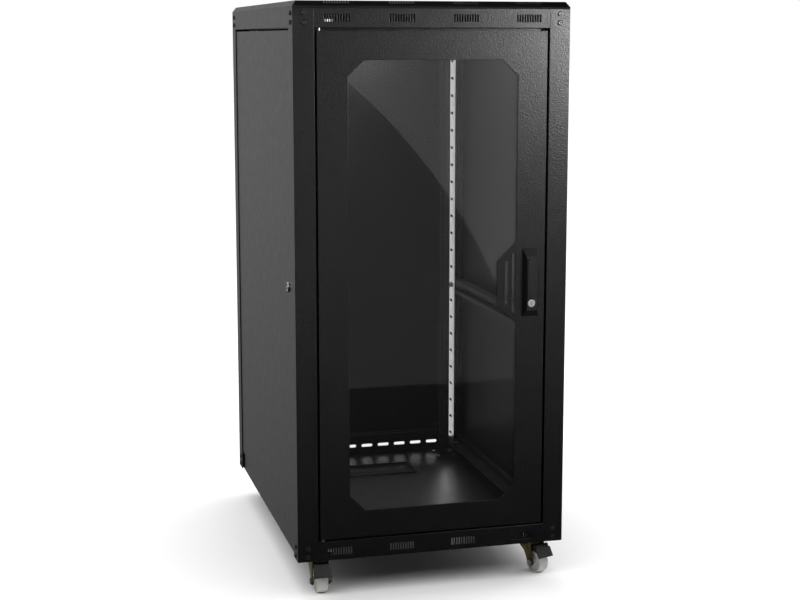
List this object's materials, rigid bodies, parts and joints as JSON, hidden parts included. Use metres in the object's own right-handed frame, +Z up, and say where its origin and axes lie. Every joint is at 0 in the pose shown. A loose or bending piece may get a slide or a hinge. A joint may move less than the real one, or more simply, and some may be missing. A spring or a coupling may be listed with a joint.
{
  "type": "network server rack cabinet",
  "caption": "Floor-standing 19-inch rack cabinet on swivel casters, with a glazed front door, swing handle, lift-off side panels, solid rear door and adjustable mounting rails.",
  "frame": {"origin": "centre of the footprint on the floor, under the wheels", "axes": "+Z up, the front door faces -Y, +X to the right seen from the front"},
  "size_m": [0.6056, 0.819, 1.266],
  "materials": {
    "black_coat": "fine-textured black powder coat, satin",
    "rail_coat": "smooth black powder coat, semi-gloss",
    "black_screw": "black-oxide steel, satin",
    "zinc_steel": "bright zinc plating",
    "yellow_zinc": "yellow-passivated zinc plating",
    "lock_chrome": "chrome plating",
    "tinted_glass": "tempered glass, grey tint",
    "seal_rubber": "black foam tape",
    "handle_black": "black die cast, fine satin paint",
    "white_nylon": "white nylon, satin",
    "pedal_black": "black moulded plastic"
  },
  "bodies": {
    "frame": {"post_front_left": "black_coat", "post_front_right": "black_coat", "post_rear_left": "black_coat", "post_rear_right": "black_coat", "front_top_beam": "black_coat", "front_bottom_beam": "black_coat", "rear_top_beam": "black_coat", "rear_bottom_beam": "black_coat", "left_top_beam": "black_coat", "right_top_beam": "black_coat", "left_bottom_beam": "black_coat", "right_bottom_beam": "black_coat", "left_depth_brace": "black_coat", "right_depth_brace": "black_coat", "rail_front_left": "rail_coat", "rail_front_right": "rail_coat", "rail_rear_left": "rail_coat", "rail_rear_right": "rail_coat", "floor_panel": "black_coat", "roof_cap": "black_coat", "roof_fan_plate": "black_coat", "cable_covers": "black_coat", "corner_screws": "black_screw", "zinc_bolts": "zinc_steel", "hinge_pins": "zinc_steel", "caster_plates": "yellow_zinc"},
    "front_door": {"front_door_frame": "black_coat", "front_door_glass": "tinted_glass", "glass_seal": "seal_rubber", "glass_clips": "zinc_steel", "front_hinge_blocks": "zinc_steel", "handle_base": "handle_black"},
    "handle_hub": {"handle_hub": "zinc_steel", "latch_cam": "zinc_steel"},
    "handle_lever": {"handle_lever": "handle_black"},
    "key_cylinder": {"key_cylinder": "lock_chrome"},
    "rear_door": {"rear_door_panel": "black_coat", "rear_hinge_blocks": "zinc_steel", "rear_lock_housing": "lock_chrome"},
    "rear_lock": {"rear_lock_plug": "lock_chrome"},
    "left_panel": {"left_side_panel": "black_coat", "left_lock_housing": "lock_chrome"},
    "left_lock": {"left_lock_plug": "lock_chrome"},
    "right_panel": {"right_side_panel": "black_coat", "right_lock_housing": "lock_chrome"},
    "right_lock": {"right_lock_plug": "lock_chrome"},
    "fork_front_left": {"fork_front_left": "yellow_zinc", "axle_front_left": "zinc_steel"},
    "wheel_front_left": {"wheel_front_left": "white_nylon"},
    "pedal_front_left": {"pedal_front_left": "pedal_black"},
    "fork_front_right": {"fork_front_right": "yellow_zinc", "axle_front_right": "zinc_steel"},
    "wheel_front_right": {"wheel_front_right": "white_nylon"},
    "pedal_front_right": {"pedal_front_right": "pedal_black"},
    "fork_rear_left": {"fork_rear_left": "yellow_zinc", "axle_rear_left": "zinc_steel"},
    "wheel_rear_left": {"wheel_rear_left": "white_nylon"},
    "fork_rear_right": {"fork_rear_right": "yellow_zinc", "axle_rear_right": "zinc_steel"},
    "wheel_rear_right": {"wheel_rear_right": "white_nylon"}
  },
  "joints": [
    {"name": "front_door_hinge", "type": "hinge", "parent": "frame", "child": "front_door", "pos_m": [-0.244, -0.3865, 0.665], "axis": [0, 0, -1], "range_deg": [0, 105]},
    {"name": "handle_turn", "type": "hinge", "parent": "front_door", "child": "handle_hub", "pos_m": [0.2175, -0.3945, 0.71275], "axis": [0, -1, 0], "range_deg": [0, 90]},
    {"name": "lever_lift", "type": "hinge", "parent": "handle_hub", "child": "handle_lever", "pos_m": [0.2175, -0.4055, 0.71275], "axis": [-1, 0, 0], "range_deg": [0, 30]},
    {"name": "key_turn", "type": "hinge", "parent": "front_door", "child": "key_cylinder", "pos_m": [0.2175, -0.3945, 0.6226], "axis": [0, 1, 0], "range_deg": [0, 90]},
    {"name": "rear_door_hinge", "type": "hinge", "parent": "frame", "child": "rear_door", "pos_m": [0.244, 0.3975, 0.665], "axis": [0, 0, -1], "range_deg": [0, 105]},
    {"name": "rear_lock_turn", "type": "hinge", "parent": "rear_door", "child": "rear_lock", "pos_m": [-0.2175, 0.4055, 0.665], "axis": [0, -1, 0], "range_deg": [0, 90]},
    {"name": "left_panel_pull", "type": "slide", "parent": "frame", "child": "left_panel", "axis": [-1, 0, 0], "range_m": [0, 0.15]},
    {"name": "left_lock_turn", "type": "hinge", "parent": "left_panel", "child": "left_lock", "pos_m": [-0.298, -0.3125, 0.665], "axis": [1, 0, 0], "range_deg": [0, 90]},
    {"name": "right_panel_pull", "type": "slide", "parent": "frame", "child": "right_panel", "axis": [1, 0, 0], "range_m": [0, 0.15]},
    {"name": "right_lock_turn", "type": "hinge", "parent": "right_panel", "child": "right_lock", "pos_m": [0.298, -0.3125, 0.665], "axis": [1, 0, 0], "range_deg": [0, 90]},
    {"name": "swivel_front_left", "type": "hinge", "parent": "frame", "child": "fork_front_left", "pos_m": [-0.245, -0.3385, 0.07], "axis": [0, 0, 1], "continuous": true},
    {"name": "spin_front_left", "type": "hinge", "parent": "fork_front_left", "child": "wheel_front_left", "pos_m": [-0.245, -0.3655, 0.025], "axis": [1, 0, 0], "continuous": true},
    {"name": "brake_front_left", "type": "hinge", "parent": "fork_front_left", "child": "pedal_front_left", "pos_m": [-0.245, -0.3525, 0.055], "axis": [1, 0, 0], "range_deg": [0, 8]},
    {"name": "swivel_front_right", "type": "hinge", "parent": "frame", "child": "fork_front_right", "pos_m": [0.245, -0.3385, 0.07], "axis": [0, 0, 1], "continuous": true},
    {"name": "spin_front_right", "type": "hinge", "parent": "fork_front_right", "child": "wheel_front_right", "pos_m": [0.25423, -0.36387, 0.025], "axis": [0.9397, 0.342, 0], "continuous": true},
    {"name": "brake_front_right", "type": "hinge", "parent": "fork_front_right", "child": "pedal_front_right", "pos_m": [0.24979, -0.35166, 0.055], "axis": [0.9397, 0.342, 0], "range_deg": [0, 8]},
    {"name": "swivel_rear_left", "type": "hinge", "parent": "frame", "child": "fork_rear_left", "pos_m": [-0.245, 0.3495, 0.07], "axis": [0, 0, 1], "continuous": true},
    {"name": "spin_rear_left", "type": "hinge", "parent": "fork_rear_left", "child": "wheel_rear_left", "pos_m": [-0.23577, 0.37487, 0.025], "axis": [-0.9397, 0.342, 0], "continuous": true},
    {"name": "swivel_rear_right", "type": "hinge", "parent": "frame", "child": "fork_rear_right", "pos_m": [0.245, 0.3495, 0.07], "axis": [0, 0, 1], "continuous": true},
    {"name": "spin_rear_right", "type": "hinge", "parent": "fork_rear_right", "child": "wheel_rear_right", "pos_m": [0.23801, 0.37558, 0.025], "axis": [-0.9659, -0.2588, 0], "continuous": true}
  ]
}
